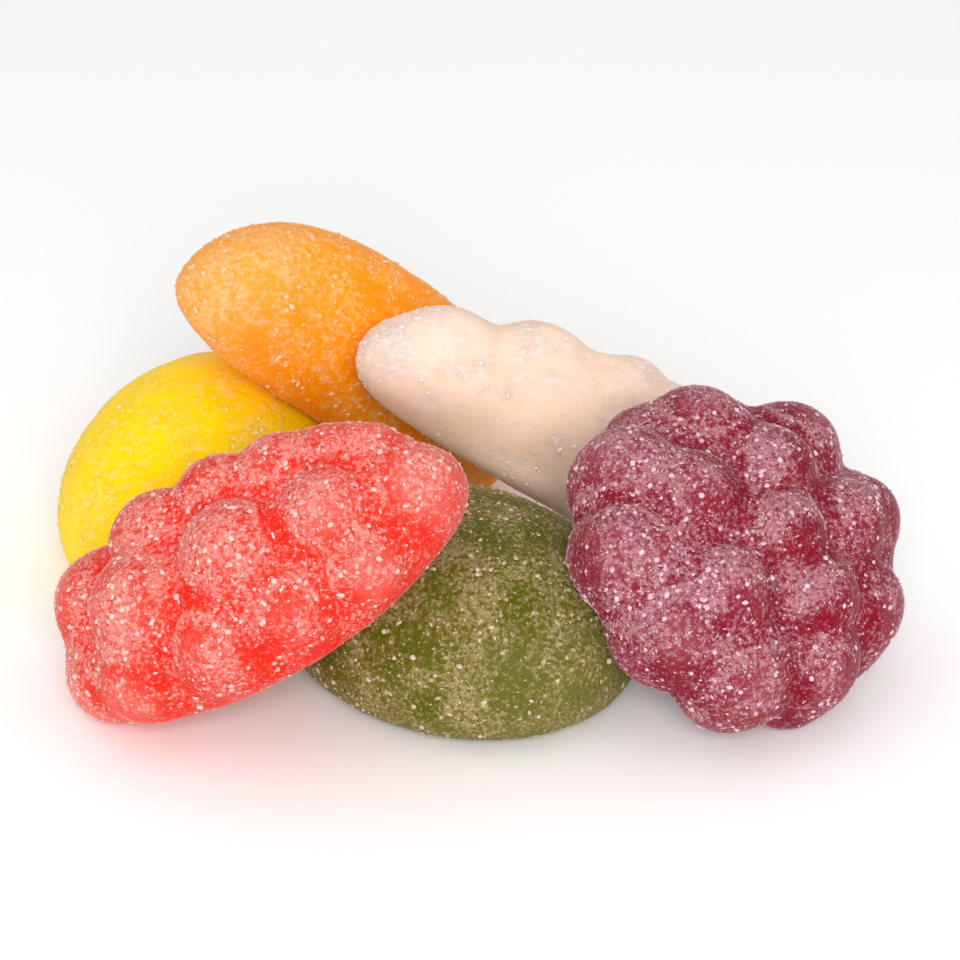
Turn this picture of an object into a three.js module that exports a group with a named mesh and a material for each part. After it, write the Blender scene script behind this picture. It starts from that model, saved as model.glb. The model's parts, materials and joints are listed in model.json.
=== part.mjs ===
// Six sugared jelly fruits lying in a loose heap, in millimetres, +Z up, seen from -Y.
//
// Every fruit is a sweet cast in a starch mould: it has a flat back, where the liquid jelly
// levelled off, and a domed face. The berries' faces carry round lobes, the others are smooth.
// A fruit is described in its own frame, with its back in the plane z = 0 and its length along x,
// by a distance formula that is negative inside it. A fine ball of directions is then wrapped
// onto that formula. Where a fruit leans on one placed before it, it is dented round it.

import * as THREE from 'three';
import { mergeVertices } from 'three/addons/utils/BufferGeometryUtils.js';

const GAP = 0.3; // clearance between two fruits that lean on each other
const WIDEST_AT = 0.3; // height of the widest section, as a share of the fruit's height
const UNDERCUT = 2.2; // how steeply the side runs in below it: larger is steeper
const BACK_EDGE = 2.5; // rounding where the side meets the flat back
const SINK = 0.25; // how far each leaning fruit's weight flattens it on the table
const RADIANS = Math.PI / 180;

// The fruits, in the order in which they were laid down. `half` is half the length and half the
// width, `at` the middle of the back. The dome leans by `lean` towards the compass angle
// `towards`, after the fruit was turned by `spin` about its dome's axis. `taper` widens the
// +x end and `wedge`, else half as much, raises it. `bend` curves the length, and `blunt` above 2
// squares the ends off.
const FRUITS = [
  {
    name: 'green_pear_half',
    half: [17.0, 13.3],
    height: 15.0,
    taper: 0.07,
    bend: 0.5,
    at: [-2.4, -5.0, 0],
    spin: -38.5,
    detail: 9,
    color: 0x8a7f33,
    roughness: 0.62,
  },
  {
    name: 'lemon_segment',
    half: [15.5, 11.6],
    height: 15.0,
    taper: 0.07,
    at: [-25.8, 15.9, 1.1],
    towards: -87,
    lean: 6.5,
    spin: 148.5,
    detail: 8,
    color: 0xfbd014,
    roughness: 0.45,
  },
  {
    name: 'red_berry',
    half: [19.6, 11.6],
    height: 14.1,
    taper: -0.08,
    bend: 0.4,
    at: [-15.5, -10.7, 8.5],
    towards: -166.9,
    lean: 33.7,
    spin: 165.3,
    inset: 1.3,
    crease: 1.0,
    rows: [
      { count: 6, from: -14.6, step: 8.4, tighten: 1.3, roll: 17, radius: 5.2, proud: 1.5 },
      { count: 4, from: -8.4, step: 10.6, tighten: 1.9, roll: -27, radius: 5.4, proud: 1.4 },
      { count: 4, from: -11.6, step: 9.0, tighten: 1.2, roll: -72, radius: 4.7, proud: 0.6 },
      { count: 6, from: -12.5, step: 5.2, roll: 60, radius: 4.2, proud: 0.4 },
    ],
    rings: [
      { count: 1, from: 0, rise: 12, radius: 4.8, proud: 0.4 },
      { count: 1, from: 208, rise: 4, radius: 4.4, proud: 0.5 },
    ],
    detail: 11,
    color: 0xf65747,
    roughness: 0.5,
  },
  {
    name: 'purple_berry',
    half: [15.5, 14.8],
    height: 13.3,
    taper: -0.04,
    bend: 1.5,
    at: [19.6, -5.2, 8.8],
    towards: -49.4,
    lean: 43.6,
    spin: 69.2,
    inset: 1.6,
    crease: 1.0,
    rings: [
      { count: 1, from: 0, rise: 86, radius: 4.6, proud: 0.6 },
      { count: 5, from: 8, rise: 58, radius: 4.4, proud: 0.7 },
      { count: 9, from: 17, rise: 27, radius: 4.9, proud: 1.0, crowding: 12, sparse: 57 },
      { count: 11, from: 22, rise: -10, radius: 4.4, proud: 0.35 },
    ],
    detail: 12,
    color: 0xa24a60,
    roughness: 0.58,
  },
  {
    name: 'orange_segment',
    half: [19.7, 8.8],
    height: 14.2,
    taper: 0.07,
    bend: -3.2,
    blunt: 2.86,
    at: [-15.8, 22.9, 12.1],
    towards: 4.8,
    lean: 44.1,
    spin: 14.2,
    detail: 9,
    color: 0xf89410,
    roughness: 0.5,
  },
  {
    name: 'white_grape_bunch',
    half: [19.7, 6.1],
    height: 13.3,
    taper: 0.02,
    wedge: 0.25,
    bend: -1.2,
    blunt: 2.3,
    at: [2.2, 12.0, 8.5],
    towards: 22.8,
    lean: 37.4,
    spin: -13.6,
    inset: 1.5,
    crease: 1.5,
    rows: [
      { count: 4, from: -12.2, step: 8.7, tighten: 1.5, roll: -5, radius: 4.8, proud: 1.9 },
      { count: 4, from: -12.0, step: 7.6, roll: -58, radius: 5.4, proud: 0.1 },
      { count: 3, from: -9.0, step: 8.2, roll: 45, radius: 5.6, proud: 0.3 },
    ],
    rings: [{ count: 2, from: 0, rise: 40, radius: 5.0, proud: 0.6 }],
    detail: 9,
    color: 0xf0d0b3,
    roughness: 0.42,
  },
];

// ---- distance formulas ------------------------------------------------------------------------

// Signed distance, close to true near the surface, to an ellipsoid centred on the z axis.
function ellipsoid([x, y, z], [rx, ry, rz], centreZ) {
  const dz = z - centreZ;
  const scaled = Math.hypot(x / rx, y / ry, dz / rz);
  const slope = Math.hypot(x / rx ** 2, y / ry ** 2, dz / rz ** 2);
  return slope < 1e-9 ? -Math.min(rx, ry, rz) : (scaled * (scaled - 1)) / slope;
}

function smoothMin(a, b, width) {
  const blend = Math.max(width - Math.abs(a - b), 0) / width;
  return Math.min(a, b) - (blend * blend * width) / 4;
}

const smoothMax = (a, b, width) => -smoothMin(-a, -b, width);

// ---- the form of one fruit --------------------------------------------------------------------

// The dome's radii above and below its widest section.
function domeOf({ half: [length, width], height }) {
  const widest = WIDEST_AT * height;
  return {
    widest,
    above: [length, width, height - widest],
    below: [length, width, UNDERCUT * widest + 0.5],
  };
}

// Carries a point of the bent and tapered fruit back to the straight, even dome.
function straighten([x, y, z], { half: [length], taper = 0, wedge = taper / 2, bend = 0, blunt = 2 }) {
  const along = x / length;
  return [
    Math.sign(along) * length * Math.abs(along) ** (blunt / 2),
    (y - bend * along * along) / Math.max(1 + taper * along, 0.3),
    z / Math.max(1 + wedge * along, 0.3),
  ];
}

// A lobe is a ball under a point of the dome, standing `proud` of it. No two are quite alike.
function lobe(dome, surfacePoint, radius, proud, number) {
  const [x, y, z] = surfacePoint;
  const radii = z > dome.widest ? dome.above : dome.below;
  const normal = new THREE.Vector3(x / radii[0] ** 2, y / radii[1] ** 2, (z - dome.widest) / radii[2] ** 2);
  const size = radius * (1 + 0.05 * Math.sin(3.7 * number + radius));
  const centre = new THREE.Vector3(x, y, z).addScaledVector(normal.normalize(), proud - size);
  return { centre, size };
}

// Lobes in a ring round the dome, `rise` degrees above its widest section. They crowd together
// by up to `crowding` degrees on the side opposite the bearing `sparse`.
function ringOfLobes(fruit, { count, from, rise, radius, proud, crowding = 0, sparse = 0 }) {
  const dome = domeOf(fruit);
  return Array.from({ length: count }, (_, i) => {
    const even = from + (360 * i) / count;
    const angle = (even + crowding * Math.sin((even - sparse) * RADIANS)) * RADIANS;
    const up = (rise + 4 * Math.sin(2.4 * i + count)) * RADIANS;
    const [length, width, depth] = up > 0 ? dome.above : dome.below;
    const point = [
      length * Math.cos(up) * Math.cos(angle),
      width * Math.cos(up) * Math.sin(angle),
      dome.widest + depth * Math.sin(up),
    ];
    return lobe(dome, point, radius, proud, i);
  });
}

// Lobes in a row along the length, rolled `roll` degrees sideways from the dome's crest. Each
// step is `tighten` shorter than the one before, and the lobes grow smaller with the steps.
function rowOfLobes(fruit, { count, from, step, tighten = 0, roll, radius, proud }) {
  const dome = domeOf(fruit);
  const [length, width, depth] = dome.above;
  return Array.from({ length: count }, (_, i) => {
    const x = from + step * i - (tighten * i * (i - 1)) / 2;
    const share = 1 - (tighten * i) / (2 * step);
    const section = Math.sqrt(Math.max(0, 1 - (x / length) ** 2));
    const point = [
      x,
      width * section * Math.sin(roll * RADIANS),
      dome.widest + depth * section * Math.cos(roll * RADIANS),
    ];
    return lobe(dome, point, radius * share, proud, i);
  });
}

// The fruit's distance formula, in its own frame.
function formOf(fruit) {
  const { rings = [], rows = [], inset = 0, crease = 1 } = fruit;
  const dome = domeOf(fruit);
  const lobes = [
    ...rings.flatMap((ring) => ringOfLobes(fruit, ring)),
    ...rows.flatMap((row) => rowOfLobes(fruit, row)),
  ];
  const straight = new THREE.Vector3();
  return (point) => {
    straight.fromArray(straighten(point, fruit));
    const radii = straight.z > dome.widest ? dome.above : dome.below;
    const core = ellipsoid(straight.toArray(), radii, dome.widest) + inset;
    const nearest = lobes
      .map(({ centre, size }) => straight.distanceTo(centre) - size)
      .sort((a, b) => a - b)
      .slice(0, 3);
    const face = nearest.reduce((merged, distance) => smoothMin(merged, distance, crease), core);
    return smoothMax(face, -point[2], BACK_EDGE);
  };
}

// ---- laying the fruits down -------------------------------------------------------------------

function poseOf({ at, towards = 0, lean = 0, spin = 0 }) {
  const turn = (axis, degrees) => new THREE.Matrix4().makeRotationAxis(axis, degrees * RADIANS);
  const up = new THREE.Vector3(0, 0, 1);
  const side = new THREE.Vector3(0, 1, 0);
  const sunk = lean > 10 ? SINK : 0;
  return new THREE.Matrix4()
    .makeTranslation(at[0], at[1], at[2] - sunk)
    .multiply(turn(up, towards))
    .multiply(turn(side, lean))
    .multiply(turn(up, spin));
}

// Wraps a ball of directions, spread evenly, onto the form pressed against table and neighbours.
function wrap(fruit, pose, neighbours) {
  const geometry = new THREE.IcosahedronGeometry(1, fruit.detail);
  geometry.deleteAttribute('normal');
  geometry.deleteAttribute('uv');
  const ball = mergeVertices(geometry, 1e-5);
  const own = formOf(fruit);
  const middle = new THREE.Vector3(0, 0, 0.4 * fruit.height);
  const local = new THREE.Vector3();
  const world = new THREE.Vector3();
  const other = new THREE.Vector3();

  const pressed = (distance, direction) => {
    local.copy(direction).multiplyScalar(distance).add(middle);
    world.copy(local).applyMatrix4(pose);
    return neighbours.reduce((deepest, neighbour) => {
      other.copy(world).applyMatrix4(neighbour.toLocal);
      return Math.max(deepest, GAP - neighbour.form(other.toArray()));
    }, Math.max(own(local.toArray()), -world.z));
  };

  const direction = new THREE.Vector3();
  const { position } = ball.attributes;
  for (let i = 0; i < position.count; i += 1) {
    direction.fromBufferAttribute(position, i).normalize();
    let inside = 0;
    let outside = 2 * fruit.half[0];
    while (outside - inside > 1e-5) {
      const between = (inside + outside) / 2;
      if (pressed(between, direction) < 0) inside = between;
      else outside = between;
    }
    pressed(inside, direction);
    position.setXYZ(i, local.x, local.y, local.z);
  }
  ball.computeVertexNormals();
  return ball;
}

function makeFruit(fruit, neighbours) {
  const pose = poseOf(fruit);
  const material = new THREE.MeshStandardMaterial({
    color: fruit.color,
    roughness: fruit.roughness,
    metalness: 0,
  });
  const mesh = new THREE.Mesh(wrap(fruit, pose, neighbours), material);
  mesh.name = fruit.name;
  pose.decompose(mesh.position, mesh.quaternion, mesh.scale);
  neighbours.push({ form: formOf(fruit), toLocal: pose.clone().invert() });
  return mesh;
}

// The heap, moved so that the middle of its footprint is the origin.
function makeHeap() {
  const heap = new THREE.Group();
  const laid = [];
  for (const fruit of FRUITS) heap.add(makeFruit(fruit, laid));
  heap.updateMatrixWorld(true);
  const box = new THREE.Box3().setFromObject(heap, true);
  heap.position.set(-(box.min.x + box.max.x) / 2, -(box.min.y + box.max.y) / 2, -box.min.z);
  return heap;
}

const group = makeHeap();

export default group;
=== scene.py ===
"""Six sugar-coated jelly fruits lying in a loose heap.

Each fruit is two pieces: a jelly, which is the fruit's moulded body with a fine uneven skin, and a
sugar coat, which is thousands of crystals and broken grains sunk into that skin. Both are made from
the solid that the frame holds, so they stay where it lies.
"""

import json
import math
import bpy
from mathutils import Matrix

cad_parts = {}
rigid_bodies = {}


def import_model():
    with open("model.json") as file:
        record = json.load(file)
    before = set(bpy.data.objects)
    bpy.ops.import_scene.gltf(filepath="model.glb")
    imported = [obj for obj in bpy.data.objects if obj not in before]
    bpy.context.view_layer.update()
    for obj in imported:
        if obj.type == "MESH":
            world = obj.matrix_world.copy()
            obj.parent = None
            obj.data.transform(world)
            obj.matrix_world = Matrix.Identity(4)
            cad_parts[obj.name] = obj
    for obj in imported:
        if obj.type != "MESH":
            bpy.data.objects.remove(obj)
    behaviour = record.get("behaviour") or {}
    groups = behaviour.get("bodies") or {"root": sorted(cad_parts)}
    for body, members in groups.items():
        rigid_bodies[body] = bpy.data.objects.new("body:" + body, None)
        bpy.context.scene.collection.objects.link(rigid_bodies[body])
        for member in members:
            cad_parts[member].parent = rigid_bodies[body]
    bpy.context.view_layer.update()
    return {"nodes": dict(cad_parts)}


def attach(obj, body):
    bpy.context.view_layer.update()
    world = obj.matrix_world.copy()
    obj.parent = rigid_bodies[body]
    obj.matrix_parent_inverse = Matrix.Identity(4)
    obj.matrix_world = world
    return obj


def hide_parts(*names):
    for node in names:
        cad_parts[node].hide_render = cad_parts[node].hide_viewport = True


bl_info = {
    "name": "Sugared Jelly Fruits",
    "version": (1, 0, 0),
    "blender": (4, 5, 0),
    "location": "View3D > Sidebar > Jelly Fruits",
    "description": "Makes a heap of sugared jelly fruits around its packed solids",
    "category": "Object",
}

import bpy
from mathutils import Vector

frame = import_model()

MM = 0.001
PER_MM2 = 1e6
BODY = "root"

# Sugar lies thickest on faces that look this way. Its length is how much it adds to their cover.
# Its upward part is where sugar settles. Its lean to the left makes the faces towards the light
# paler, which is painted light.
SUGAR_FALL_AND_LIGHT = (-0.12, 0.0, 0.2)

# Which solids are which fruit, with a short name that its own pieces and colours carry.
SMOOTH_FRUITS = {
    "green_pear_half": "pear",
    "lemon_segment": "lemon",
    "orange_segment": "orange",
}
LOBED_FRUITS = {
    "red_berry": "red",
    "purple_berry": "purple",
    "white_grape_bunch": "white",
}

# What the coat does on each fruit: how white half-melted sugar makes it, how wide its clumps are
# as a multiple of the usual size, and how pale a bloom shows towards the rim.
FILM = {"pear": 0.6, "lemon": 0.75, "orange": 0.85, "red": 0.5, "purple": 0.46, "white": 0.9}
CLUMPING = {"pear": 0.9, "lemon": 1.8, "orange": 1.4, "red": 0.9, "purple": 0.9, "white": 1.8}
BLOOM = {"pear": 0.08, "lemon": 0.1, "orange": 0.4, "red": 0.7, "purple": 0.7, "white": 0.3}

# How much sugar catches along the upper shoulders of each fruit's lobes, where it also paints pale
# highlight arcs on the side facing the light.
CAUGHT_SUGAR_AND_HIGHLIGHT = {"pear": 0.0, "lemon": 0.0, "orange": 0.0, "red": 0.9, "purple": 0.9, "white": 0.3}

# The shoulder of a lobe: how far it stands above the mean surface, and how far from that it ends.
SHOULDER_MM = 0.06
SHOULDER_REACH_MM = 0.09

# How far a face has to look towards the fall, which leans towards the light, before its shoulder
# catches any sugar and painted highlight, and all of it.
FACING_FALL_AND_LIGHT = (0.03, 0.15)

# How much cover a patch adds or takes, between which values of the noise, and how much a ridge of
# 1 mm adds.
PATCHINESS = 0.44
PATCH_EDGE = (0.3, 0.7)
RIDGE_SUGAR = 0.4

# Between which values of the noise frost goes from none to full, and what full cover adds to it.
FROST_EDGE = (0.53, 0.80)
FROST_FROM_COVER = 0.2

# A grain stays where frost times cover is above a value that is drawn between these.
LUCK = (-0.04, 0.4)

# Where the random draws of a grain start, and how far on those of the second kind of grain are.
DRAWS = {"luck": 7.0, "width": 13.0, "turn": 29.0, "form": 41.0}
NEXT_KIND = 100.0

# The narrowest and the widest grain, as a multiple of the usual width, and how rare wide ones are.
WIDTHS = (0.7, 1.5)
RARITY = 2.0

# The slimmest and the fullest form of a grain along its three axes, as a multiple of its width.
SLIMMEST = (0.6, 0.7, 0.9)
FULLEST = (1.0, 1.2, 1.6)

# Points of a solid closer than this are one point, and those lower than this lie on the table.
WELD_REACH = 0.001 * MM
ON_TABLE = 0.02 * MM

# No point goes below this corner, which leaves x and y free for a metre and stops z at the table.
TABLE_CORNER = (-1.0, -1.0, 0.0)

# Ridge heights in mm between which creases take the deep tone, which is painted light and shade,
# and crests grow pale with a painted highlight, how pale, and the covers between which the deep
# tone shows through on bare places as painted light and shade.
PAINTED_CREASE_MM = (0.04, -0.10)
# Painted highlight: crests grow paler between these ridge heights, partly from sugar and partly as
# a highlight painted where light catches them.
CREST_HIGHLIGHT_MM = (0.12, 0.36)
CREST_HIGHLIGHT_PALENESS = 0.14
COVER_HAZE = 0.03
PAINTED_BARE_COVER = (0.55, 0.1)

# How rough bare and fully frosted jelly are, and how white it is when it is fully frosted.
JELLY_ROUGHNESS = (0.42, 0.65)
FULL_FROST = 0.6

# How much of its own pale colour the smallest and the largest grain has, and how much plain sugar
# the largest of them show.
OWN_COLOUR = (0.5, 1.0)
LARGE = (0.75, 1.0)
PLAIN_SHARE = 0.25

# The even light from all round, and each lamp's name, place and width in metres, and its watts.
SURROUNDING_LIGHT = 0.68
SOFTBOXES = (
    ("Overhead softbox", (-0.10, 0.12, 0.55), 0.6, 0.3),
    ("Front softbox", (0.03, -0.52, 0.30), 0.30, 2.5),
)

# Each fruit's number, which its random draws start from.
SEEDS = {fruit: number for number, fruit in enumerate(FILM, start=1)}


def linear(hex_colour):
    """The linear colour, with full alpha, of an sRGB hex value such as 'F89410'."""
    channels = [int(hex_colour[i : i + 2], 16) / 255 for i in (0, 2, 4)]
    light = [c / 12.92 if c <= 0.04045 else ((c + 0.055) / 1.055) ** 2.4 for c in channels]
    return (*light, 1.0)


def colour(name, description, hex_colour):
    """A colour property with an sRGB hex value as its default."""
    return bpy.props.FloatVectorProperty(
        name=name,
        description=description,
        subtype="COLOR",
        size=4,
        min=0,
        max=1,
        default=linear(hex_colour),
    )


def length(name, description, millimetres):
    """A length property whose default is given in millimetres."""
    return bpy.props.FloatProperty(
        name=name,
        description=description,
        default=millimetres * MM,
        min=0,
        unit="LENGTH",
        precision=5,
    )


def share(name, description, default):
    """A property between 0 and 1."""
    return bpy.props.FloatProperty(
        name=name, description=description, default=default, min=0, max=1
    )


def amount(name, description, default):
    """A property that is never negative."""
    return bpy.props.FloatProperty(name=name, description=description, default=default, min=0)


# The colour of a whole crystal that hasn't melted.
PLAIN_SUGAR = linear("FFF4EE")


# ---- what a user would change -----------------------------------------------------------------


class JellyColours(bpy.types.PropertyGroup):
    """Each fruit's flesh, its deep tone, which is painted light and shade in creases and bare
    places, and its crystals.
    """

    pear_flesh: colour("Pear Flesh", "Olive green jelly", "565400")
    # Painted shade: a darker green in the creases and on the bare places.
    pear_deep: colour("Pear Deep", "Green in the creases and thick places", "4E5200")
    pear_sugar: colour("Pear Sugar", "Grey-beige crystals", "B6A276")
    lemon_flesh: colour("Lemon Flesh", "Clear yellow jelly", "FFD200")
    # Painted light: lighter than the flesh, in the creases and on the bare lower sides, which lifts
    # their shade.
    lemon_deep: colour("Lemon Deep", "Yellow in the thick places", "FFDC00")
    lemon_sugar: colour("Lemon Sugar", "Pale yellow crystals", "FFE068")
    orange_flesh: colour("Orange Flesh", "Clear orange jelly", "FF9A04")
    # Painted shade: a slightly darker orange in the creases and on the bare places.
    orange_deep: colour("Orange Deep", "Orange in the thick places", "FF9000")
    orange_sugar: colour("Orange Sugar", "Peach crystals", "FFBC76")
    red_flesh: colour("Red Flesh", "Warm red jelly", "D82E1C")
    # Painted light and shade: a more saturated red in the creases and on the bare places.
    red_deep: colour("Red Deep", "Red in the creases", "E02210")
    red_sugar: colour("Red Sugar", "Pink crystals", "FAB0A4")
    purple_flesh: colour("Purple Flesh", "Crimson-purple jelly", "7C0E24")
    # Painted shade: a more saturated crimson in the creases and on the bare places.
    purple_deep: colour("Purple Deep", "Crimson in the creases", "7C0424")
    purple_sugar: colour("Purple Sugar", "Rose-grey crystals", "DAA6B0")
    # Kept darker than its deep tone, so the covered upper faces show painted shade.
    white_flesh: colour("White Flesh", "Uncoloured, faintly peach jelly", "E8CAB2")
    # Painted light: lighter than the flesh, in the creases and on the bare lower right, which fills
    # their shade.
    white_deep: colour("White Deep", "Its thick places, lit through", "F6D8BE")
    white_sugar: colour("White Sugar", "Near-white crystals", "F6E2DA")


class JellySkin(bpy.types.PropertyGroup):
    """The uneven skin that the mould and the sugar leave."""

    levels: bpy.props.IntProperty(
        name="Subdivisions",
        description="How often the solid's faces are split",
        default=2,
        min=0,
        max=3,
    )
    swell_size: length("Swell Size", "Distance between gentle swellings", 5.0)
    swell_depth: length("Swell Depth", "Height of the gentle swellings", 0.28)
    grain_size: length("Grain Size", "Distance between fine pits", 0.9)
    grain_depth: length("Grain Depth", "Depth of the fine pits", 0.08)
    crease_reach: bpy.props.IntProperty(
        name="Crease Reach",
        description="Smoothing steps that tell ridges from creases",
        default=40,
        min=1,
    )
    crease_depth: amount("Crease Depth", "How much a crease is deepened, as a multiple", 0.9)


class SugarCoat(bpy.types.PropertyGroup):
    """The crystals of granulated sugar on every fruit."""

    coarse_size: length("Crystal Size", "Usual width of a whole crystal", 0.48)
    fine_size: length("Grain Size", "Usual width of a broken grain", 0.30)
    coarse_density: amount("Crystals per mm2", "Whole crystals where the coat is thickest", 2.2)
    fine_density: amount("Grains per mm2", "Broken grains where the coat is thickest", 16.0)
    sunk: share("Sunk", "How deep a crystal sits in the skin, as a share of its width", 0.3)
    clump_size: length("Clump Size", "Distance between clumps of half-melted grains", 0.46)
    patch_size: length("Patch Size", "Distance between thick and thin places of the coat", 3.8)
    table_clearance: length("Table Clearance", "Height under which no crystal sits", 0.35)
    pear_cover: share("Pear Cover", "Share of the half pear under sugar", 0.4)
    lemon_cover: share("Lemon Cover", "Share of the lemon segment under sugar", 0.18)
    orange_cover: share("Orange Cover", "Share of the orange segment under sugar", 0.42)
    red_cover: share("Red Cover", "Share of the red berry under sugar", 0.4)
    purple_cover: share("Purple Cover", "Share of the purple berry under sugar", 0.4)
    white_cover: share("White Cover", "Share of the bunch of grapes under sugar", 0.12)


class Studio(bpy.types.PropertyGroup):
    """The camera, the floor and the lights."""

    elevation: bpy.props.FloatProperty(
        name="Camera Elevation",
        description="Angle above level",
        subtype="ANGLE",
        default=math.radians(30),
    )
    distance: length("Camera Distance", "From the point that it looks at", 249.3)
    focal_length: amount("Focal Length", "On a 36 mm sensor", 110.0)
    target: bpy.props.FloatVectorProperty(
        name="Target",
        description="The point in the middle of the picture",
        subtype="TRANSLATION",
        default=(1.09 * MM, -5.2 * MM, 15.0 * MM),
    )
    floor_width: length("Floor Width", "Side of the pale floor", 3000.0)
    floor_colour: colour("Floor", "Near-white paper", "FEFEFE")


# ---- small helpers ----------------------------------------------------------------------------


def add(tree, kind, inputs=None, **settings):
    """Adds a node with its settings. Each input is a value, or a node or socket to link from."""
    node = tree.nodes.new(kind)
    for name, value in settings.items():
        setattr(node, name, value)
    for name, value in (inputs or {}).items():
        socket = next(
            s for i, s in enumerate(node.inputs) if s.enabled and name in (i, s.name)
        )
        if isinstance(value, bpy.types.Node):
            value = next(s for s in value.outputs if s.enabled)
        if isinstance(value, bpy.types.NodeSocket):
            tree.links.new(value, socket)
        else:
            socket.default_value = value
    return node


def calc(tree, operation, *terms, **settings):
    """One step of arithmetic on values or sockets."""
    return add(
        tree, "ShaderNodeMath", dict(enumerate(terms)), operation=operation, **settings
    )


def ramp(tree, value, limits, results=(0.0, 1.0), **settings):
    """Carries a value from between two limits to between two results, and holds it there."""
    inputs = {"Value": value, 1: limits[0], 2: limits[1], 3: results[0], 4: results[1]}
    return add(tree, "ShaderNodeMapRange", inputs, **settings)


def noise(tree, place, size, detail, roughness=0.5):
    """The socket of a soft noise whose features lie about one size apart."""
    scale = calc(tree, "DIVIDE", 1.0, size)
    inputs = {"Vector": place, "Scale": scale, "Detail": detail, "Roughness": roughness}
    return add(tree, "ShaderNodeTexNoise", inputs).outputs[0]


def keep(tree, geometry, name, value, domain="POINT"):
    """Stores a number under a name on each point or instance of a geometry."""
    return add(
        tree,
        "GeometryNodeStoreNamedAttribute",
        {"Geometry": geometry, "Name": name, "Value": value},
        data_type="FLOAT",
        domain=domain,
    )


def drawn(tree, low, high, seed, data_type="FLOAT"):
    """A random value between two others."""
    inputs = {"Min": low, "Max": high, "Seed": seed}
    return add(tree, "FunctionNodeRandomValue", inputs, data_type=data_type)


def dress(tree, geometry, material):
    """Shades a geometry smooth, makes it real, gives it its material and ends the tree with it."""
    smooth = add(
        tree, "GeometryNodeSetShadeSmooth", {"Geometry": geometry, "Shade Smooth": True}
    )
    real = add(tree, "GeometryNodeRealizeInstances", {"Geometry": smooth})
    dressed = add(
        tree, "GeometryNodeSetMaterial", {"Geometry": real, "Material": material}
    )
    add(tree, "NodeGroupOutput", {"Geometry": dressed})


def new_tree(name, sockets):
    """A geometry tree with named inputs, each a (name, socket type, default) triple."""
    tree = bpy.data.node_groups.new(name, "GeometryNodeTree")
    tree.interface.new_socket("Geometry", in_out="OUTPUT", socket_type="NodeSocketGeometry")
    tree.interface.new_socket("Geometry", in_out="INPUT", socket_type="NodeSocketGeometry")
    for socket_name, socket_type, default in sockets:
        socket = tree.interface.new_socket(socket_name, in_out="INPUT", socket_type=socket_type)
        if default is not None:
            socket.default_value = default
    return tree, tree.nodes.new("NodeGroupInput").outputs


def grow(source_mesh, tree, values, name):
    """Runs a geometry tree on a copy of a mesh and returns the result as a plain mesh object."""
    carrier = bpy.data.objects.new(name + "_carrier", source_mesh.copy())
    bpy.context.scene.collection.objects.link(carrier)
    modifier = carrier.modifiers.new("Growth", "NODES")
    modifier.node_group = tree
    identifiers = {
        item.name: item.identifier
        for item in tree.interface.items_tree
        if item.item_type == "SOCKET" and item.in_out == "INPUT"
    }
    for socket_name, value in values.items():
        modifier[identifiers[socket_name]] = value
    bpy.context.view_layer.update()
    evaluated = carrier.evaluated_get(bpy.context.evaluated_depsgraph_get())
    mesh = bpy.data.meshes.new_from_object(evaluated)
    carrier.modifiers.clear()
    bpy.data.objects.remove(carrier)
    mesh.name = name
    piece = bpy.data.objects.new(name, mesh)
    bpy.context.scene.collection.objects.link(piece)
    return piece


# ---- geometry trees ---------------------------------------------------------------------------


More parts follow.
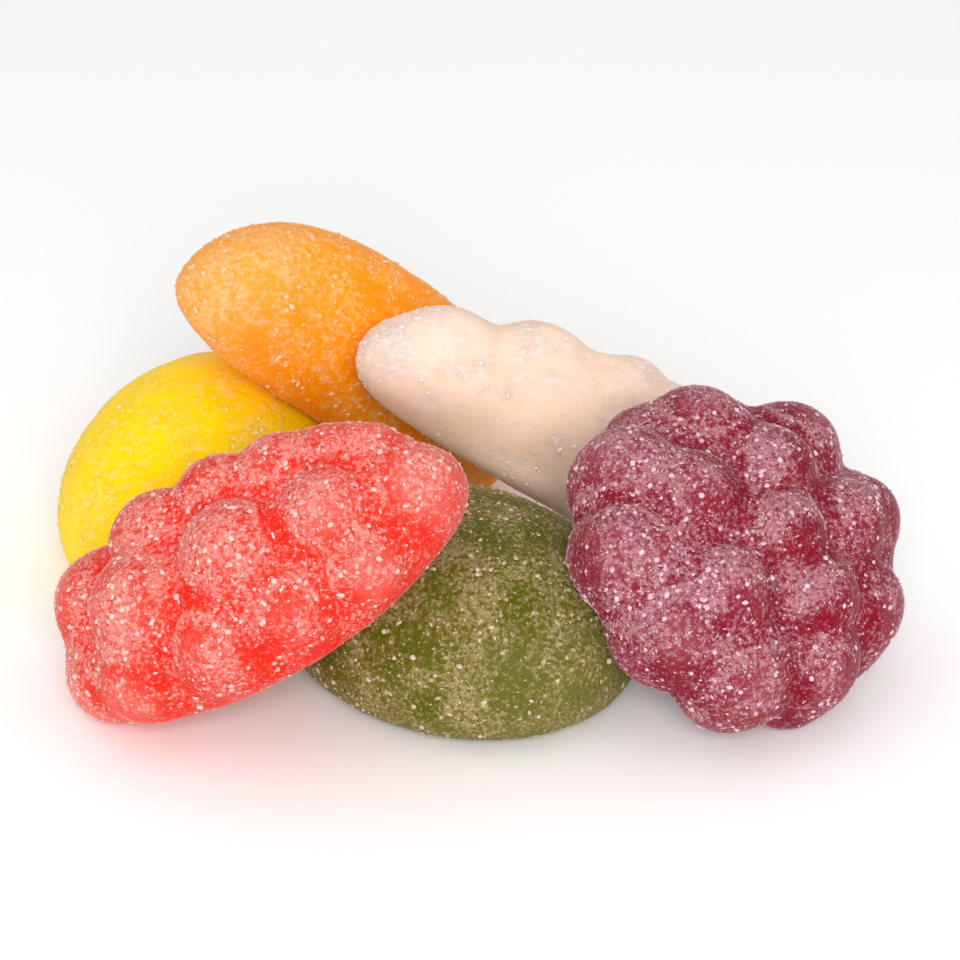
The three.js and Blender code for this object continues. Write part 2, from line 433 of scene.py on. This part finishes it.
def skin_tree():
    """Splits a solid finely, keeps each point's ridge height and cover, and roughens the skin."""
    tree, given = new_tree(
        "Jelly skin",
        [
            ("Levels", "NodeSocketInt", 2),
            ("Swell Size", "NodeSocketFloat", 5 * MM),
            ("Swell Depth", "NodeSocketFloat", 0.2 * MM),
            ("Grain Size", "NodeSocketFloat", 1 * MM),
            ("Grain Depth", "NodeSocketFloat", 0.1 * MM),
            ("Crease Reach", "NodeSocketInt", 40),
            ("Crease Depth", "NodeSocketFloat", 2.0),
            ("Patch Size", "NodeSocketFloat", 2.8 * MM),
            ("Cover", "NodeSocketFloat", 0.5),
            ("Caught", "NodeSocketFloat", 0.0),
            ("Material", "NodeSocketMaterial", None),
        ],
    )
    welded = add(
        tree,
        "GeometryNodeMergeByDistance",
        {"Geometry": given["Geometry"], "Distance": WELD_REACH},
    )
    fine = add(tree, "GeometryNodeSubdivisionSurface", {"Mesh": welded, "Level": given["Levels"]})
    place = add(tree, "GeometryNodeInputPosition")
    normal = add(tree, "GeometryNodeInputNormal")

    smoothed = add(
        tree,
        "GeometryNodeBlurAttribute",
        {"Value": place, "Iterations": given["Crease Reach"]},
        data_type="FLOAT_VECTOR",
    )
    away = add(tree, "ShaderNodeVectorMath", {0: place, 1: smoothed}, operation="SUBTRACT")
    along = add(tree, "ShaderNodeVectorMath", {0: away, 1: normal}, operation="DOT_PRODUCT")
    ridge = along.outputs["Value"]
    ridge_mm = calc(tree, "MULTIPLY", ridge, 1 / MM)
    ridged = keep(tree, fine, "ridge", ridge_mm)
    covered = keep(tree, ridged, "cover", sugar_cover(tree, given, place, normal, ridge_mm))

    crease = calc(tree, "MINIMUM", ridge, 0.0)
    depth = calc(tree, "MULTIPLY", crease, given["Crease Depth"])
    for size, height in (("Swell Size", "Swell Depth"), ("Grain Size", "Grain Depth")):
        centred = calc(tree, "SUBTRACT", noise(tree, place, given[size], 1.0), 0.5)
        depth = calc(tree, "MULTIPLY_ADD", centred, given[height], depth)
    offset = add(tree, "ShaderNodeVectorMath", {0: normal, "Scale": depth}, operation="SCALE")
    moved = add(tree, "ShaderNodeVectorMath", {0: place, 1: offset}, operation="ADD")
    stopped = add(tree, "ShaderNodeVectorMath", {0: moved, 1: TABLE_CORNER}, operation="MAXIMUM")
    lifted = add(
        tree,
        "FunctionNodeCompare",
        {0: add(tree, "ShaderNodeSeparateXYZ", {0: place}).outputs["Z"], 1: ON_TABLE},
        data_type="FLOAT",
        operation="GREATER_THAN",
    )
    rough = add(
        tree,
        "GeometryNodeSetPosition",
        {"Geometry": covered, "Selection": lifted, "Position": stopped},
    )
    dress(tree, rough, given["Material"])
    return tree


def sugar_cover(tree, given, place, normal, ridge):
    """How thickly sugar lies at a point, from 0 to 1: in patches, on ridges and where it fell. The
    fall leans towards the light and adds pale arcs on lobe shoulders, which is partly painted
    light.
    """
    patches = noise(tree, place, given["Patch Size"], 2.0, 0.6)
    patchy = ramp(tree, patches, PATCH_EDGE, (-PATCHINESS, PATCHINESS))
    # Painted light: the fall leans to the left, so faces towards the light gain cover and grow
    # paler.
    facing = add(tree, "ShaderNodeVectorMath", {0: normal, 1: SUGAR_FALL_AND_LIGHT}, operation="DOT_PRODUCT")
    facing_fall_and_light = facing.outputs["Value"]
    dusted_and_lit = calc(tree, "ADD", facing_fall_and_light, given["Cover"])
    ridgy = calc(tree, "MULTIPLY_ADD", ridge, RIDGE_SUGAR, dusted_and_lit)
    # Painted highlight: pale arcs on the upper shoulders of the lobes, partly sugar that catches
    # there.
    off_shoulder = calc(tree, "ABSOLUTE", calc(tree, "SUBTRACT", ridge, SHOULDER_MM))
    shoulder = ramp(tree, off_shoulder, (0.0, SHOULDER_REACH_MM), (1.0, 0.0))
    upward = ramp(tree, facing_fall_and_light, FACING_FALL_AND_LIGHT)
    highlight_arcs = calc(tree, "MULTIPLY", shoulder, upward)
    with_highlight_arcs = calc(tree, "MULTIPLY_ADD", highlight_arcs, given["Caught"], ridgy)
    return calc(tree, "ADD", with_highlight_arcs, patchy, use_clamp=True)


def frost(tree, place, cover, clump):
    """Sugar that has half melted into the skin, from 0 to 1: small clumps, which close up where the
    cover is thick.
    """
    clots = noise(tree, place, clump, 3.0, 0.8)
    closer = calc(tree, "MULTIPLY_ADD", cover, FROST_FROM_COVER, clots)
    return ramp(tree, closer, FROST_EDGE, interpolation_type="SMOOTHSTEP")


def sugar_tree():
    """Sinks crystals and grains into a skin, wherever half-melted sugar lies on it."""
    tree, given = new_tree(
        "Sugar coat",
        [
            ("Crystal Size", "NodeSocketFloat", 0.5 * MM),
            ("Grain Size", "NodeSocketFloat", 0.25 * MM),
            ("Crystals", "NodeSocketFloat", 3 * PER_MM2),
            ("Grains", "NodeSocketFloat", 4 * PER_MM2),
            ("Sunk", "NodeSocketFloat", 0.3),
            ("Clump Size", "NodeSocketFloat", 1 * MM),
            ("Table Clearance", "NodeSocketFloat", 0.35 * MM),
            ("Seed", "NodeSocketInt", 1),
            ("Material", "NodeSocketMaterial", None),
        ],
    )
    place = add(tree, "GeometryNodeInputPosition")
    cover = add(tree, "GeometryNodeInputNamedAttribute", {"Name": "cover"}, data_type="FLOAT")
    white = frost(tree, place, cover, given["Clump Size"])
    height = add(tree, "ShaderNodeSeparateXYZ", {0: place})
    low = add(
        tree,
        "FunctionNodeCompare",
        {0: height.outputs["Z"], 1: given["Table Clearance"]},
        data_type="FLOAT",
        operation="LESS_THAN",
    )

    crystal = add(tree, "GeometryNodeMeshIcoSphere", {"Radius": 0.5, "Subdivisions": 1})
    grain = add(tree, "GeometryNodeMeshUVSphere", {"Segments": 4, "Rings": 2, "Radius": 0.5})
    layers = []
    for number, (size, density, form) in enumerate(
        (("Crystal Size", "Crystals", crystal), ("Grain Size", "Grains", grain))
    ):
        seed = calc(tree, "ADD", given["Seed"], NEXT_KIND * number)
        seeds = {use: calc(tree, "ADD", seed, start) for use, start in DRAWS.items()}
        points = add(
            tree,
            "GeometryNodeDistributePointsOnFaces",
            {"Mesh": given["Geometry"], "Density": given[density], "Seed": seed},
            distribute_method="RANDOM",
        )
        held = calc(tree, "MULTIPLY", white, cover)
        melted = add(
            tree,
            "FunctionNodeCompare",
            {0: held, 1: drawn(tree, *LUCK, seeds["luck"])},
            data_type="FLOAT",
            operation="LESS_THAN",
        )
        gone = add(tree, "FunctionNodeBooleanMath", {0: low, 1: melted}, operation="OR")
        left = add(
            tree,
            "GeometryNodeDeleteGeometry",
            {"Geometry": points, "Selection": gone},
            domain="POINT",
        )

        big = drawn(tree, 0.0, 1.0, seeds["width"])
        rarely = calc(tree, "POWER", big, RARITY)
        width = calc(tree, "MULTIPLY", ramp(tree, rarely, (0.0, 1.0), WIDTHS), given[size])
        depth = calc(tree, "MULTIPLY", width, given["Sunk"])
        inward = calc(tree, "MULTIPLY", depth, -1.0)
        into = add(
            tree,
            "ShaderNodeVectorMath",
            {0: points.outputs["Normal"], "Scale": inward},
            operation="SCALE",
        )
        sunk = add(tree, "GeometryNodeSetPosition", {"Geometry": left, "Offset": into})
        turn = drawn(tree, (0.0,) * 3, (math.tau,) * 3, seeds["turn"], "FLOAT_VECTOR")
        shape = drawn(tree, SLIMMEST, FULLEST, seeds["form"], "FLOAT_VECTOR")
        uneven = add(tree, "ShaderNodeVectorMath", {0: shape, "Scale": width}, operation="SCALE")
        crystals = add(
            tree,
            "GeometryNodeInstanceOnPoints",
            {"Points": sunk, "Instance": form, "Rotation": turn, "Scale": uneven},
        )
        tinted = keep(tree, crystals, "tint", big, domain="INSTANCE")
        layers.append(add(tree, "GeometryNodeRealizeInstances", {"Geometry": tinted}))
    coat = add(tree, "GeometryNodeJoinGeometry")
    for layer in layers:
        tree.links.new(layer.outputs[0], coat.inputs[0])
    dress(tree, coat, given["Material"])
    return tree


# ---- materials --------------------------------------------------------------------------------


def new_material(name):
    """A material with no nodes yet, and its tree."""
    material = bpy.data.materials.new(name)
    material.use_nodes = True
    material.node_tree.nodes.clear()
    return material, material.node_tree


def jelly_material(fruit):
    """Fruit jelly, set pectin cast in a mould: a soft translucent body under half-melted sugar.

    Light goes two or three millimetres into it, so it glows. Its deep tone is painted light and
    shade in the creases and bare places, and its crests carry a pale painted highlight.
    Clumps of melted sugar make it paler and duller, and where it is bare it has a satin gleam.
    """
    colours = bpy.context.scene.jelly_colours
    coat = bpy.context.scene.sugar_coat
    tones = ("flesh", "deep", "sugar")
    flesh, deep, sugar = (getattr(colours, f"{fruit}_{tone}") for tone in tones)
    material, tree = new_material(f"Pectin jelly {fruit}")
    place = add(tree, "ShaderNodeTexCoord").outputs["Object"]
    ridge = add(tree, "ShaderNodeAttribute", attribute_name="ridge").outputs["Fac"]
    cover = add(tree, "ShaderNodeAttribute", attribute_name="cover").outputs["Fac"]

    # Painted light and shade: the deep tone fills the creases and the bare places.
    painted_crease = ramp(tree, ridge, PAINTED_CREASE_MM)
    bare = ramp(tree, cover, PAINTED_BARE_COVER)
    body = blend(tree, calc(tree, "MAXIMUM", painted_crease, bare), flesh, deep)
    clumps = frost(tree, place, cover, coat.clump_size * CLUMPING[fruit])
    # Painted highlight: crests grow paler, partly from sugar.
    crest_highlight = ramp(tree, ridge, CREST_HIGHLIGHT_MM, (0.0, CREST_HIGHLIGHT_PALENESS))
    haze_and_highlight = calc(tree, "MULTIPLY_ADD", cover, COVER_HAZE, crest_highlight)
    white = calc(tree, "MULTIPLY_ADD", clumps, FILM[fruit], haze_and_highlight)
    dull = ramp(tree, white, (0.0, FULL_FROST), JELLY_ROUGHNESS)
    bumps = add(tree, "ShaderNodeBump", {"Height": white, "Strength": 0.1, "Distance": 0.12 * MM})
    shader = add(
        tree,
        "ShaderNodeBsdfPrincipled",
        {
            "Base Color": blend(tree, white, body, sugar),
            "Roughness": dull,
            "IOR": 1.43,
            "Specular IOR Level": 0.1,
            "Subsurface Weight": 0.8,
            "Subsurface Radius": tuple(0.15 + 0.85 * channel for channel in flesh[:3]),
            "Subsurface Scale": 2.6 * MM,
            "Sheen Weight": BLOOM[fruit],
            "Sheen Roughness": 0.2,
            "Sheen Tint": sugar,
            "Normal": bumps,
        },
        subsurface_method="BURLEY",
    )
    add(tree, "ShaderNodeOutputMaterial", {"Surface": shader})
    return material


def blend(tree, factor, first, second):
    """The colour socket of a mix of two colours."""
    mixed = add(tree, "ShaderNodeMix", {0: factor, "A": first, "B": second}, data_type="RGBA")
    return next(s for s in mixed.outputs if s.enabled)


def sugar_material(fruit):
    """Granulated sugar whose edges have melted: clouded lumps with a soft gleam, which take up some
    of the jelly's colour. The larger ones are the whiter.
    """
    colours = bpy.context.scene.jelly_colours
    flesh, sugar = (getattr(colours, f"{fruit}_{tone}") for tone in ("flesh", "sugar"))
    material, tree = new_material(f"Granulated sugar {fruit}")
    tint = add(tree, "ShaderNodeAttribute", attribute_name="tint").outputs["Fac"]
    clouded = blend(tree, ramp(tree, tint, (0.0, 1.0), OWN_COLOUR), flesh, sugar)
    plain = ramp(tree, tint, LARGE, (0.0, PLAIN_SHARE))
    shader = add(
        tree,
        "ShaderNodeBsdfPrincipled",
        {
            "Base Color": blend(tree, plain, clouded, PLAIN_SUGAR),
            "Roughness": 0.35,
            "IOR": 1.5,
            "Specular IOR Level": 0.2,
        },
    )
    add(tree, "ShaderNodeOutputMaterial", {"Surface": shader})
    return material


# ---- pieces -----------------------------------------------------------------------------------


def make_jelly(node, fruit):
    """The jelly of one fruit, which takes its solid's place."""
    skin = bpy.context.scene.jelly_skin
    coat = bpy.context.scene.sugar_coat
    piece = grow(
        frame["nodes"][node].data,
        bpy.data.node_groups.get("Jelly skin") or skin_tree(),
        {
            "Levels": skin.levels,
            "Swell Size": skin.swell_size,
            "Swell Depth": skin.swell_depth,
            "Grain Size": skin.grain_size,
            "Grain Depth": skin.grain_depth,
            "Crease Reach": skin.crease_reach,
            "Crease Depth": skin.crease_depth,
            "Patch Size": coat.patch_size,
            "Cover": getattr(coat, f"{fruit}_cover"),
            "Caught": CAUGHT_SUGAR_AND_HIGHLIGHT[fruit],
            "Material": jelly_material(fruit),
        },
        f"{fruit}_jelly",
    )
    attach(piece, BODY)
    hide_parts(node)
    return piece


class JELLY_OT_smooth_fruits(bpy.types.Operator):
    """Make the jellies of the smooth fruits: half a pear and the two citrus segments"""

    bl_idname = "jelly.smooth_fruits"
    bl_label = "Smooth Fruits"

    def execute(self, context):
        for node, fruit in SMOOTH_FRUITS.items():
            make_jelly(node, fruit)
        return {"FINISHED"}


class JELLY_OT_lobed_fruits(bpy.types.Operator):
    """Make the jellies of the lobed fruits: the two berries and the bunch of grapes"""

    bl_idname = "jelly.lobed_fruits"
    bl_label = "Lobed Fruits"

    def execute(self, context):
        for node, fruit in LOBED_FRUITS.items():
            make_jelly(node, fruit)
        return {"FINISHED"}


class JELLY_OT_sugar(bpy.types.Operator):
    """Coat every jelly with sugar crystals"""

    bl_idname = "jelly.sugar"
    bl_label = "Sugar Coat"

    def execute(self, context):
        coat = context.scene.sugar_coat
        tree = sugar_tree()
        for node, fruit in {**SMOOTH_FRUITS, **LOBED_FRUITS}.items():
            piece = grow(
                bpy.data.objects[f"{fruit}_jelly"].data,
                tree,
                {
                    "Crystal Size": coat.coarse_size,
                    "Grain Size": coat.fine_size,
                    "Crystals": coat.coarse_density * PER_MM2,
                    "Grains": coat.fine_density * PER_MM2,
                    "Sunk": coat.sunk,
                    "Clump Size": coat.clump_size * CLUMPING[fruit],
                    "Table Clearance": coat.table_clearance,
                    "Seed": SEEDS[fruit],
                    "Material": sugar_material(fruit),
                },
                f"{fruit}_sugar",
            )
            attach(piece, BODY)
        return {"FINISHED"}


class JELLY_OT_stage(bpy.types.Operator):
    """Set up the camera, the pale floor and the soft lights"""

    bl_idname = "jelly.stage"
    bl_label = "Stage"

    def execute(self, context):
        studio = context.scene.jelly_studio
        scene = context.scene
        scene.view_settings.view_transform = "Standard"

        lens = bpy.data.cameras.new("Camera")
        lens.lens = studio.focal_length
        lens.clip_start = 10 * MM
        camera = bpy.data.objects.new("Camera", lens)
        back = Vector((0, -math.cos(studio.elevation), math.sin(studio.elevation)))
        camera.location = Vector(studio.target) + back * studio.distance
        camera.rotation_euler = (math.pi / 2 - studio.elevation, 0, 0)
        scene.collection.objects.link(camera)
        scene.camera = camera

        half = studio.floor_width / 2
        mesh = bpy.data.meshes.new("floor")
        corners = [(-half, -half, 0), (half, -half, 0), (half, half, 0), (-half, half, 0)]
        mesh.from_pydata(corners, [], [(0, 1, 2, 3)])
        floor = bpy.data.objects.new("floor", mesh)
        scene.collection.objects.link(floor)
        mesh.materials.append(floor_material())

        world = bpy.data.worlds.new("Studio")
        world.use_nodes = True
        background = world.node_tree.nodes["Background"]
        background.inputs["Color"].default_value = (1, 1, 1, 1)
        background.inputs["Strength"].default_value = SURROUNDING_LIGHT
        scene.world = world

        for name, place, size, watts in SOFTBOXES:
            light = bpy.data.lights.new(name, "AREA")
            light.size = size
            light.energy = watts
            lamp = bpy.data.objects.new(name, light)
            lamp.location = place
            lamp.rotation_euler = Vector(place).to_track_quat("Z", "Y").to_euler()
            scene.collection.objects.link(lamp)
        return {"FINISHED"}


def floor_material():
    """Matt white paper, calendered: an even pale ground with hardly any grain."""
    material, tree = new_material("White paper")
    place = add(tree, "ShaderNodeTexCoord").outputs["Object"]
    fibre = add(
        tree, "ShaderNodeTexNoise", {"Vector": place, "Scale": 1 / (4.0 * MM), "Detail": 3.0}
    )
    pits = add(
        tree,
        "ShaderNodeBump",
        {"Height": fibre.outputs[0], "Strength": 0.05, "Distance": 0.02 * MM},
    )
    shader = add(
        tree,
        "ShaderNodeBsdfPrincipled",
        {
            "Base Color": bpy.context.scene.jelly_studio.floor_colour,
            "Roughness": 0.9,
            "Specular IOR Level": 0.2,
            "Normal": pits,
        },
    )
    add(tree, "ShaderNodeOutputMaterial", {"Surface": shader})
    return material


class JELLY_PT_panel(bpy.types.Panel):
    """Lists the steps and the settings"""

    bl_label = "Jelly Fruits"
    bl_idname = "JELLY_PT_panel"
    bl_space_type = "VIEW_3D"
    bl_region_type = "UI"
    bl_category = "Jelly Fruits"

    def draw(self, context):
        layout = self.layout
        for step in STEPS:
            layout.operator(step.bl_idname)
        for group in SETTINGS:
            box = layout.box()
            for name in SETTINGS[group].__annotations__:
                box.prop(getattr(context.scene, group), name)


STEPS = (JELLY_OT_smooth_fruits, JELLY_OT_lobed_fruits, JELLY_OT_sugar, JELLY_OT_stage)
SETTINGS = {
    "jelly_colours": JellyColours,
    "jelly_skin": JellySkin,
    "sugar_coat": SugarCoat,
    "jelly_studio": Studio,
}


def register():
    for cls in (*SETTINGS.values(), *STEPS, JELLY_PT_panel):
        bpy.utils.register_class(cls)
    for name, cls in SETTINGS.items():
        setattr(bpy.types.Scene, name, bpy.props.PointerProperty(type=cls))


def unregister():
    for name in SETTINGS:
        delattr(bpy.types.Scene, name)
    for cls in (JELLY_PT_panel, *reversed(STEPS), *reversed(SETTINGS.values())):
        bpy.utils.unregister_class(cls)


def main():
    """Builds the heap and its stage."""
    register()
    bpy.ops.jelly.smooth_fruits()
    bpy.ops.jelly.lobed_fruits()
    bpy.ops.jelly.sugar()
    bpy.ops.jelly.stage()


if __name__ == "__main__":
    main()
